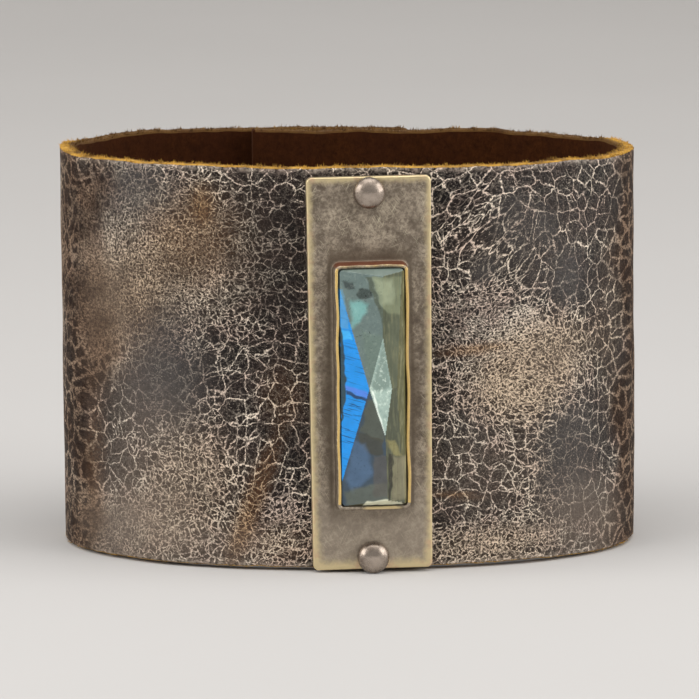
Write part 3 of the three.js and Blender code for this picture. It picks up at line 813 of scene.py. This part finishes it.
def buildPlate():
    # Matched loops from the middle of the back over the plate's edge and face, up the bezel's outside,
    # over its lip and down to the pocket's floor
    tall, thick, back, wall = (plate[key] for key in ("height", "thickness", "back", "bezelWall"))
    inner = np.array([stone["width"], stone["length"]]) + 2 * stone["clearance"]
    drop = np.array([0, -plate["bezelDrop"]])
    top = thick + plate["bezelHeight"]
    loops, masks = [], {"edge": [], "shade": [], "lip": [], "copper": []}

    def edgeLoop(inset):
        return panelLoop(plate["topWidth"] - 2 * inset, plate["bottomWidth"] - 2 * inset, tall - 2 * inset,
                         max(plate["corner"] - inset, 0.12))

    def bezelLoop(offset):
        corner = max(plate["bezelCorner"] - wall + offset, 0.15)
        return panelLoop(inner[0] + 2 * offset, inner[0] + 2 * offset, inner[1] + 2 * offset, corner) + drop

    def add(loop, out, edge=0.0, shade=0.0, lip=0.0, copper=0.0):
        zero = np.zeros(len(loop))
        loops.append(np.column_stack([loop, zero + out]))
        for rows, value in zip(masks.values(), (edge, shade, lip, copper)):
            rows.append(zero + value)

    def paleFoot(loop):
        # Painted paler along the lower edge
        return 0.20 * np.exp(-((loop[:, 1] + tall / 2) / 3.2) ** 2)

    rim = edgeLoop(0)
    for share in (0.02, 0.35, 0.7):
        add(rim * share, back)
    add(edgeLoop(0.12), back, 0.2)
    for out, edge in ((back + 0.12, 0.5), (0.35, 0.6), (thick - 0.16, 0.95)):
        add(rim, out, edge)
    add(edgeLoop(0.05), thick - 0.045, 1.0)
    for inset, edge in ((0.15, 0.92), (0.32, 0.74), (0.55, 0.60), (0.85, 0.47), (1.2, 0.36)):
        add(edgeLoop(inset), thick, edge + paleFoot(edgeLoop(inset)))
    start, foot = edgeLoop(1.5), bezelLoop(wall + 0.45)
    for share in np.linspace(0, 1, 13):
        loop = start * (1 - share) + foot * share
        reach = np.linalg.norm(loop - foot, axis=1)
        add(loop, thick, 0.27 * (1 - share) ** 2 + paleFoot(loop),
            np.exp(-(reach / np.where(loop[:, 0] < -4.6, 2.2, 1.3)) ** 2) * (1 - 0.5 * (loop[:, 1] < -17)))

    # The lip strays sideways and dips; its tones are painted light and shade that depend on the side of the
    # bezel
    lipLoop = bezelLoop(wall)
    stray = plate["wobble"] * waves(lipLoop[:, 0], lipLoop[:, 1], 6, 61)
    dip = 0.5 * plate["wobble"] * waves(lipLoop[:, 0], lipLoop[:, 1], 4, 62)
    outward = lipLoop - drop
    outward = np.where(np.abs(outward) > inner / 2 * 0.985, np.sign(outward), 0)
    outward /= np.maximum(np.linalg.norm(outward, axis=1, keepdims=True), 1)
    topSide = inner[1] / 2 - plate["bezelDrop"]
    upper = smoothStep(lipLoop[:, 1], topSide - 0.2, topSide + 0.3)
    lower = outward[:, 1] < -0.5
    # The bottom lip is painted dark except for a painted glint near its middle, and the top lip is painted
    # dimmer
    glint = np.exp(-((lipLoop[:, 0] - 1.0) / 2.6) ** 4)
    keep = 1 - 0.5 * upper - 0.9 * lower * (1 - glint)
    leftSide, rightSide = outward[:, 0] < -0.5, outward[:, 0] > 0.5
    # Each row: distance out from the pocket's side, height, wear and share of the straying
    for offset, out, edge, share in (
            (wall + 0.16, thick + 0.02, 0.0, 0.0), (wall + 0.05, thick + 0.10, 0.0, 0.3),
            (wall + 0.01, thick + 0.36, 0.10, 0.5), (wall, thick + 1.1, 0.30, 0.8),
            (wall - 0.02, top - 0.60, 0.50, 1.0), (wall - 0.07, top - 0.30, 0.75, 1.0),
            (wall - 0.13, top - 0.11, 1.0, 1.0), (wall - 0.20, top - 0.04, 1.0, 1.0),
            (wall - 0.30, top - 0.04, 1.0, 1.0), (wall - 0.42, top - 0.08, 0.8, 1.0),
            (wall - 0.54, top - 0.18, 0.3, 1.0), (wall - 0.50, top - 0.60, 0.0, 0.6),
            (wall - 0.45, thick + 0.1, 0.0, 0.0)):
        worn = edge * keep
        if offset > wall - 0.18:
            worn = worn * (1 - 0.55 * leftSide)  # painted shade: brown outside, yellow inside
        if abs(offset - wall + 0.20) < 0.01:
            worn = worn * (1 - 0.45 * rightSide)  # painted highlights: a dull line between two bright ones
        copper = (offset > wall - 0.08) * min(1.0, (out - thick) * 2.5) * upper
        add(bezelLoop(offset) + outward * (stray * share)[:, None], out + dip * share, worn,
            0.9 - 0.9 * edge, 1.0 - 0.8 * lower, copper)
    add(bezelLoop(-0.1), thick)
    for share in (0.6, 0.25, 0.02):
        add((bezelLoop(-0.1) - drop) * share + drop, thick)
    points = np.concatenate(loops)
    face = np.abs(points[:, 2] - thick) < 0.001
    points[:, 2] += face * 0.02 * waves(points[:, 0], points[:, 1], 8, 63)
    values = {name: np.concatenate(rows) for name, rows in masks.items()}
    # The face is painted lighter towards the bottom
    values["pale"] = face * smoothStep(-points[:, 1], 10, 20)
    faces = [gridFaces(len(loops), len(rim)), *endFaces(len(loops), len(rim))]
    piece = makePiece("setting_brass", points, faces, [plateBrass], values=values, place=onPlate)
    return onBody(piece, "aged_brass", "setting_plate")


buildPlate()

# Points of the crown: across of the half width, along of the half length, up of the crown's height
crownPoints = {
    "leftHigh": (-1.00, 0.84, 0.25),
    "leftLow": (-0.95, -0.74, 0.25),
    "tableLeft": (-0.16, 0.00, 1.00),
    "tableTop": (0.28, 0.43, 1.00),
    "tableBottom": (0.32, -0.40, 1.00),
    "tableRight": (0.54, 0.00, 1.00),
    "shoulderHigh": (0.72, 0.66, 0.62),
    "shoulderLow": (0.74, -0.62, 0.62),
    "rightMiddle": (0.74, 0.00, 0.80),
    "rightHigh": (1.00, 1.00, 0.16),
    "rightLow": (1.00, -1.00, 0.16),
    "topPeak": (0.10, 0.96, 0.62),
    "topLeft": (-1.00, 1.00, 0.10),
    "topRight": (1.00, 1.00, 0.10),
    "bottomPeak": (0.30, -0.96, 0.62),
    "bottomLeft": (-1.00, -1.00, 0.10),
    "bottomRight": (1.00, -1.00, 0.10),
}
# Each facet, known by its number from 0: the three points that its plane goes through, and its tone, painted
# with the stone's colour and the blue flash, light and shade that the facet shows
facets = [
    ("leftHigh", "leftLow", "tableLeft", (0.012, 0.235, 0.650)),
    ("tableLeft", "tableTop", "tableBottom", (0.315, 0.420, 0.370)),
    ("leftHigh", "tableLeft", "tableTop", (0.118, 0.160, 0.150)),
    ("leftLow", "tableLeft", "tableBottom", (0.040, 0.062, 0.085)),
    ("tableTop", "tableRight", "shoulderHigh", (0.090, 0.102, 0.066)),
    ("tableBottom", "tableRight", "shoulderLow", (0.070, 0.078, 0.052)),
    ("rightMiddle", "rightHigh", "rightLow", (0.088, 0.087, 0.036)),
    ("topPeak", "topLeft", "topRight", (0.130, 0.165, 0.145)),
    ("bottomPeak", "bottomLeft", "bottomRight", (0.075, 0.070, 0.042)),
]
# Painted reflections and shade inside the stone: the corners of each in the plan, the softness of its border,
# its strength, its tone and the numbers of the facets that show it
panes = [
    (((-3.79, 13.54), (-2.35, 13.39), (-2.14, 12.64), (-3.41, 12.74)),
     0.12, 0.8, (0.038, 0.048, 0.048), (2, 7)),
    (((-2.14, 11.78), (-1.6, 12.64), (-0.33, 12.64), (-0.12, 11.45), (-1.6, 11.3)),
     0.12, 0.85, (0.032, 0.042, 0.038), (2,)),
    (((-2.77, 11.13), (-1.18, 11.02), (-0.27, 10.38), (-0.97, 9.52), (-1.6, 7.69), (-2.6, 7.8)),
     0.35, 0.8, (0.175, 0.390, 0.370), (2,)),
    (((-0.1, 14.1), (4.03, 14.1), (4.03, 9.41), (1.86, 9.41), (0.92, 10.66)),
     0.15, 0.8, (0.170, 0.195, 0.120), (2, 4)),
    (((-0.9, 14.19), (-0.1, 13.97), (0.92, 10.66), (0.58, 9.84)),
     0.1, 0.75, (0.065, 0.076, 0.048), (2, 4, 6)),
    (((0.58, 10.49), (0.92, 10.66), (1.86, 9.45), (1.94, 7.04), (1.31, 6.83)),
     0.1, 0.75, (0.065, 0.076, 0.048), (2, 4, 6)),
    (((0.2, 13.71), (2.43, 13.71), (2.75, 11.99), (2.5, 10.7), (1.16, 10.81)),
     0.45, 0.7, (0.295, 0.335, 0.225), (2, 4, 6)),
    (((-1.6, 7.47), (1.16, 6.61), (0.84, 4.89), (-0.33, 0.59), (-1.07, 3.17)),
     0.3, 0.6, (0.122, 0.171, 0.138), (2,)),
    (((-0.86, -1.35), (0.2, -1.35), (1.31, -6.08), (0.84, -6.94), (-1.71, -5.44)),
     0.2, 0.8, (0.084, 0.093, 0.068), (3,)),
    (((-2.03, -5.44), (1.05, -6.4), (0.84, -8.45), (-0.86, -8.23), (-1.92, -6.94)),
     0.15, 0.8, (0.051, 0.051, 0.037), (3,)),
    (((-2.6, -6.62), (-1.18, -6.94), (-0.18, -10.81), (-2.77, -13.18), (-3.67, -11.46)),
     0.35, 0.55, (0.080, 0.150, 0.265), (3,)),
    (((-3.67, -12.97), (1.9, -11.67), (1.9, -14.69), (-3.52, -14.79)),
     0.3, 0.7, (0.107, 0.12, 0.091), (3,)),
    (((-0.9, -14.3), (3.4, -14.0), (3.7, -15.0), (-1.6, -15.0)),
     0.12, 0.95, (0.60, 0.60, 0.45), (3, 8)),
    (((-0.12, -8.45), (2.01, -8.55), (1.8, -13.83), (-0.22, -13.61)),
     0.2, 0.6, (0.098, 0.089, 0.076), (3,)),
    (((2.33, -8.66), (4.13, -8.66), (4.13, -14.26), (2.01, -14.26)),
     0.3, 0.7, (0.216, 0.195, 0.122), (5, 6, 8)),
    (((1.52, -6.47), (2.58, -6.68), (3.28, -8.55), (2.37, -8.45)),
     0.15, 0.75, (0.262, 0.235, 0.098), (3, 5, 6)),
    (((1.73, -8.23), (2.28, -8.45), (2.28, -11.67), (1.8, -14.04), (1.6, -14.04)),
     0.07, 0.8, (0.026, 0.023, 0.018), (3, 5, 6)),
    (((-4.05, 7.47), (-2.99, 7.47), (-2.67, 6.18), (-3.94, 6.18)),
     0.1, 0.6, (0.061, 0.429, 0.753), (0,)),
    (((-4.09, 12.53), (-3.62, 12.53), (-2.99, 7.69), (-4.05, 7.69)),
     0.1, 0.5, (0.114, 0.305, 0.456), (0, 2)),
    (((-3.41, 0.37), (-0.86, -0.27), (-0.82, -1.18), (-3.41, -0.27)),
     0.15, 0.6, (0.114, 0.188, 0.68), (0,)),
    (((-3.45, -0.27), (-0.75, -1.24), (-0.75, -1.61), (-3.45, -0.75)),
     0.04, 0.85, (0.021, 0.032, 0.07), (0,)),
    (((-4.18, 7.9), (-3.92, 7.69), (-3.37, -0.27), (-3.58, -1.56), (-3.96, -5.44), (-4.18, -5.44)),
     0.05, 0.95, (0.026, 0.048, 0.045), (0,)),
    (((1.26, 6.35), (2.22, 0.16), (0.2, -0.27), (-0.33, 0.37)),
     0.3, 0.8, (0.160, 0.225, 0.195), (1,)),
    (((-0.52, 0.05), (-0.12, -0.27), (1.31, -5.65), (1.26, -6.08)),
     0.06, 0.9, (0.73, 0.807, 0.73), (1,)),
]


def paneMask(x, y, corners, soft):
    # Inside a convex outline: the least distance in from its sides, turned into a soft-edged mask
    corners = np.array(corners)
    after = np.roll(corners, -1, axis=0)
    step = after - corners
    turned = np.sign((corners[:, 0] * after[:, 1] - after[:, 0] * corners[:, 1]).sum())
    inward = np.full_like(x, 1e9)
    for (cx, cy), (dx, dy) in zip(corners, step):
        inward = np.minimum(inward, turned * (dx * (y - cy) - dy * (x - cx)) / math.hypot(dx, dy))
    return smoothStep(inward, -soft, soft)


def facetPlanes():
    # Each plane as height = a + b * across + c * along, in millimetres
    half = np.array([stone["width"] / 2, stone["length"] / 2, stone["crown"]])
    rows = []
    for first, second, third, tone in facets:
        a, b, c = (np.array(crownPoints[name]) * half for name in (first, second, third))
        n = np.cross(b - a, c - a)
        rows.append([a[2] + (n[0] * a[0] + n[1] * a[1]) / n[2], -n[0] / n[2], -n[1] / n[2]])
    return np.array(rows)


def roundCorners(x, y, halfWidth, halfLength, corner):
    # In each corner square, a point keeps its direction from the inner corner and its larger step
    # becomes its distance
    dx, dy = np.abs(x) - (halfWidth - corner), np.abs(y) - (halfLength - corner)
    inside = (dx > 0) & (dy > 0)
    scale = np.where(inside, np.maximum(dx, dy) / np.maximum(np.hypot(dx, dy), 1e-9), 1)
    newX = np.where(inside, np.sign(x) * (halfWidth - corner + dx * scale), x)
    newY = np.where(inside, np.sign(y) * (halfLength - corner + dy * scale), y)
    return newX, newY


def buildStone():
    # The crown's height over the plan is the lowest of the facet planes; a skirt runs down to a flat back
    halfWidth, halfLength = stone["width"] / 2, stone["length"] / 2
    u, v = np.meshgrid(np.linspace(-halfWidth, halfWidth, stone["across"]),
                       np.linspace(-halfLength, halfLength, stone["along"]), indexing="ij")
    x, y = roundCorners(u, v, halfWidth, halfLength, stone["corner"])
    planes = facetPlanes()
    heights = planes[:, 0, None, None] + planes[:, 1, None, None] * x + planes[:, 2, None, None] * y
    facet = heights.argmin(0)
    crown = np.stack([x, y - plate["bezelDrop"], stone["base"] + stone["girdle"] + heights.min(0)], -1)
    rows, columns = x.shape
    index = np.arange(rows * columns).reshape(rows, columns)
    border = np.concatenate([index[:-1, 0], index[-1, :-1], index[:0:-1, -1], index[0, :0:-1]])
    crown = crown.reshape(-1, 3)
    skirt = crown[border]
    skirt[:, 2] = stone["base"] + 0.2
    foot = skirt * [0.96, 1, 1]
    foot[:, 2] = stone["base"]
    rings = [border] + [len(crown) + i * len(border) + np.arange(len(border)) for i in (0, 1)]
    sides = [np.stack([a, b, np.roll(b, -1), np.roll(a, -1)], -1) for a, b in zip(rings, rings[1:])]
    top = gridFaces(rows, columns, closed=False)
    tone = np.array([row[3] for row in facets])[facet]
    driftX = x + 0.07 * waves(x, y, 1.6, 71)
    driftY = y + 0.07 * waves(x, y, 1.6, 72)
    for corners, soft, strength, colour, shown in panes:
        amount = strength * paneMask(driftX, driftY, corners, soft) * np.isin(facet, shown)
        tone = tone * (1 - amount[..., None]) + np.array(colour) * amount[..., None]
    layered = spots(x, y, [(-2.4, -4.2, 2.2, 3.4, 0, 0.9), (-2.0, 3.0, 2.0, 3.0, 0, 0.25)])
    dusty = spots(x, y, [
        (-3.2, 13.1, 0.7, 0.5, 0, 1), (-1.3, 11.9, 1.2, 0.9, 0, 1), (-1.7, 6.7, 0.6, 0.5, 0, 1),
        (-0.3, 6.8, 0.6, 0.5, 0, 1), (2.1, -11.6, 0.22, 2.6, 0, 1)])
    masks = {
        "layered": np.clip(0.25 + layered, 0, 1) * (facet == 0),
        "streaked": 0.60 * (facet == 6) + 0.30 * np.isin(facet, (4, 5)),
        "mottled": 0.85 * (facet == 1) + 0.08 * (facet == 2),
        "dusty": np.clip(np.clip(dusty, 0, 1) + 0.35 * np.isin(facet, (2, 3, 5)), 0, 1),
    }

    def spread(values):
        # The skirt takes the values of the crown's border
        values = values.reshape(rows * columns, -1)
        return np.concatenate([values, values[border], values[border]])

    values = {"plan": spread(np.stack([x, y, np.zeros_like(x)], -1)),
              "tint": spread(np.concatenate([tone, np.ones((rows, columns, 1))], -1)),
              **{name: spread(mask)[:, 0] for name, mask in masks.items()}}
    piece = makePiece("stone_labradorite", np.concatenate([crown, skirt, foot]),
                      [top, *sides, rings[2][::-1][None]], [labradorite], values=values, smooth=False,
                      place=onPlate)
    return onBody(piece, "labradorite", "stone")


stonePiece = buildStone()
print("cuff: the setting is made,", len(stonePiece.data.polygons), "faces in the stone")

# Distances along an axis are counted from the plate's back face, and for snaps from the leather's outer face
rivet = {"radius": 2.0, "edge": 0.30, "dome": 1.15, "foot": 1.02, "base": 1.3,
         "capRadius": 1.8, "capFront": -2.33, "capBack": -3.2, "upper": 22.9, "lower": -23.35}
snap = {"radius": 6.0, "edge": 0.4, "dome": 1.8, "spacing": 26.0,
        "foot": 0.03, "base": 0.3, "flangeRadius": 5.0, "flange": 0.8, "reach": 4.3}
roundSides = 72


def revolve(profiles):
    # Closed profiles of radius and distance out, each carried once round; the first and last points of a
    # profile lie on the axis and become one point each
    angle = np.linspace(0, 2 * math.pi, roundSides, endpoint=False)
    k = np.arange(roundSides)
    nextK = (k + 1) % roundSides
    points, faces, edges, first = [], [], [], 0
    for profile in profiles:
        radius, out, edge = (np.array(c, dtype=float) for c in zip(*profile))
        ring = np.stack([radius[1:-1, None] * np.cos(angle), radius[1:-1, None] * np.sin(angle),
                         np.repeat(out[1:-1, None], roundSides, 1)], -1).reshape(-1, 3)
        points += [ring, np.array([[0, 0, out[0]], [0, 0, out[-1]]])]
        edges += [np.repeat(edge[1:-1], roundSides), edge[[0, -1]]]
        last, start = len(ring) - roundSides, len(ring)
        fans = [np.stack([np.full_like(k, start), k, nextK], -1),
                np.stack([np.full_like(k, start + 1), last + nextK, last + k], -1)]
        faces += [group + first for group in (gridFaces(len(radius) - 2, roundSides), *fans)]
        first += len(ring) + 2
    return np.concatenate(points), faces, np.concatenate(edges)


def domeProfile(radius, foot, shoulder, dome, rim=0.12, steps=14):
    # From the top of a shallow dome down a short rounded rim to the flat underside
    turn = np.linspace(0, math.pi / 2, steps)
    rows = [(radius * math.sin(t), shoulder + dome * math.cos(t), 0.45 + 0.35 * math.cos(t) ** 4)
            for t in turn]
    rows[0] = (0.0, shoulder + dome, 0.8)
    return rows + [(radius, foot + rim, 0.35), (radius - 0.3 * rim, foot + 0.3 * rim, 0.3),
                   (radius - rim, foot, 0.2), (0.0, foot, 0.0)]


def discProfile(radius, front, back, rim=0.15):
    # A flat cap with rounded edges, from its front to its back
    return [(0.0, front, 0.0), (radius - rim, front, 0.2), (radius - 0.3 * rim, front - 0.3 * rim, 0.6),
            (radius, front - rim, 0.8), (radius, back + rim, 0.8),
            (radius - 0.3 * rim, back + 0.3 * rim, 0.8), (radius - rim, back, 0.5),
            (radius * 0.5, back, 0.2), (0.0, back, 0.2)]


def onBack(points):
    # From a snap's own frame (across, up, out of the leather at the back) to the finished one
    return stand(np.stack([-points[..., 0], cuff["depth"] + points[..., 2], points[..., 1]], -1))


def buildFastener(name, up, node, profiles, material, slotName, place):
    points, faces, edge = revolve(profiles)
    points[:, 1] += up
    piece = makePiece(name, points, faces, [material], values={"edge": edge}, place=place)
    return onBody(piece, slotName, node)


rivetProfiles = [domeProfile(rivet["radius"], rivet["foot"], rivet["base"] + rivet["edge"], rivet["dome"]),
                 discProfile(rivet["capRadius"], rivet["capFront"], rivet["capBack"])]
snapProfiles = [domeProfile(snap["radius"], snap["foot"], snap["base"] + snap["edge"], snap["dome"], 0.2, 18),
                discProfile(snap["flangeRadius"], -snap["reach"] - snap["foot"],
                            -snap["reach"] - snap["base"] - snap["flange"], 0.25)]
for name, up, node in (("rivet_top", rivet["upper"], "rivet_upper"),
                       ("rivet_bottom", rivet["lower"], "rivet_lower")):
    buildFastener(name, up, node, rivetProfiles, rivetBrass, "rivet_brass", onPlate)
for name, up, node in (("snap_top", cuff["height"] / 2 + snap["spacing"] / 2, "snap_upper"),
                       ("snap_bottom", cuff["height"] / 2 - snap["spacing"] / 2, "snap_lower")):
    buildFastener(name, up, node, snapProfiles, snapMetal, "snap_metal", onBack)
print("cuff: the rivets and snaps are made")

studio = {
    "floor": (0.50, 0.49, 0.48, 1),
    "floorHalf": 4.5,
    "bendRadius": 0.6,
    "behind": 1.1,
    "wallHeight": 1.8,
    "world": 1.0,
    # Each softbox: azimuth and elevation in degrees, distance, width, height and power
    "softboxes": {
        "softbox_left": (-70, 24, 0.80, 0.62, 0.50, 3.3),
        "softbox_right": (66, 24, 0.80, 0.62, 0.50, 3.3),
        "softbox_top": (0, 80, 0.75, 0.80, 0.60, 3.0),
    },
    "aim": (0, 0, 0.025),
    # The sky's stops from the front to the back: place and level
    "sky": ((0.0, 0.26), (0.05, 0.32), (0.20, 0.98), (0.52, 1.0), (0.72, 0.45), (1.0, 0.40)),
}
# The photo's view, fitted to its outline: degrees, millimetres, and a shift in picture pixels
view = {"elevation": 8.53, "turn": 6.5, "roll": -0.41, "distance": 750, "lens": 298.1, "sensor": 36,
        "right": 0.3, "down": 8.1, "pixels": 7.718}  # pixels is how many there are to a millimetre


def buildFloor():
    # One sheet: flat floor, a quarter bend and an upright wall, carried straight across
    turn = np.linspace(0, math.pi / 2, 24)
    radius, behind = studio["bendRadius"], studio["behind"]
    y = np.concatenate([[-studio["floorHalf"]], behind + radius * np.sin(turn), [behind + radius]])
    z = np.concatenate([[0], radius - radius * np.cos(turn), [studio["wallHeight"]]])
    x = np.array([-studio["floorHalf"], studio["floorHalf"]])
    points = np.stack([np.repeat(x, len(y)), np.tile(y, 2), np.tile(z, 2)], -1)
    material, tree, shader = newMaterial("paleFloor")
    grain = noise(tree, addNode(tree, "TexCoord", {}).outputs["Object"], 9.0, 3.0, 0.5)
    darker = [0.985 * c for c in studio["floor"][:3]] + [1]
    setInputs(tree, shader, {"Base Color": mix(tree, span(tree, grain, 0.3, 0.7), darker, studio["floor"]),
                             "Roughness": 0.7, "Specular IOR Level": 0.25})
    piece = makePiece("studio_floor", points * 1000, [gridFaces(2, len(y), closed=False)], [material],
                      place=lambda p: p)


def putAt(name, data, right, up, back, place):
    # An object that points away from back, at its place in metres
    holder = bpy.data.objects.new(name, data)
    scene.collection.objects.link(holder)
    holder.matrix_world = Matrix([*zip(right, up, back, place), (0, 0, 0, 1)])
    return holder


def addSoftbox(name, azimuth, elevation, distance, width, height, power):
    # azimuth is counted from the front, positive to the right of whoever faces the plate
    az, el = math.radians(azimuth), math.radians(elevation)
    way = np.array([math.sin(az) * math.cos(el), -math.cos(az) * math.cos(el), math.sin(el)])
    lamp = bpy.data.lights.new(name, "AREA")
    lamp.shape = "RECTANGLE"
    lamp.size, lamp.size_y, lamp.energy = width, height, power
    right = np.cross([0, 0, 1.0], way)
    right /= np.linalg.norm(right)
    place = np.array(studio["aim"]) + way * distance
    putAt(name, lamp, right, np.cross(way, right), way, place).visible_camera = False


def addCamera():
    e, w, roll = (math.radians(view[key]) for key in ("elevation", "turn", "roll"))
    back = np.array([-math.sin(w) * math.cos(e), -math.cos(w) * math.cos(e), math.sin(e)])
    right = np.array([math.cos(w), -math.sin(w), 0])
    up = np.array([math.sin(w) * math.sin(e), math.cos(w) * math.sin(e), math.cos(e)])
    across = math.cos(roll) * right - math.sin(roll) * up
    above = math.sin(roll) * right + math.cos(roll) * up
    centre = np.array([0, 0, cuff["height"] / 2])
    aim = centre + right * view["right"] / view["pixels"] - up * view["down"] / view["pixels"]
    place = stand(aim + back * view["distance"]) * 0.001
    camera = bpy.data.cameras.new("camera")
    camera.lens, camera.sensor_width = view["lens"], view["sensor"]
    camera.clip_start, camera.clip_end = 0.05, 20
    turned = [stand(v) - stand(np.zeros(3)) for v in (across, above, back)]
    scene.camera = putAt("camera", camera, *turned, place)


scene.view_settings.view_transform = "Standard"
buildFloor()
for name, settings in studio["softboxes"].items():
    addSoftbox(name, *settings)
world = bpy.data.worlds.new("studio")
world.use_nodes = True
sky = world.node_tree
# Soft light from both sides and above, less from behind the camera and from the back
facing = addNode(sky, "SeparateXYZ", {0: addNode(sky, "TexCoord", {}).outputs["Generated"]}).outputs["Y"]
ramp = addNode(sky, "ValToRGB", {"Fac": span(sky, facing, -1.0, 1.0, 0.0, 1.0, "LINEAR")})
ramp.color_ramp.interpolation = "EASE"
for i, (at, level) in enumerate(studio["sky"]):
    stop = ramp.color_ramp.elements[i] if i < 2 else ramp.color_ramp.elements.new(at)
    stop.position = at
    stop.color = (level, level * 0.965, level * 0.93, 1)
setInputs(sky, sky.nodes["Background"], {"Color": ramp.outputs["Color"], "Strength": studio["world"]})
scene.world = world
addCamera()
print("cuff: the floor, lights and camera are set")
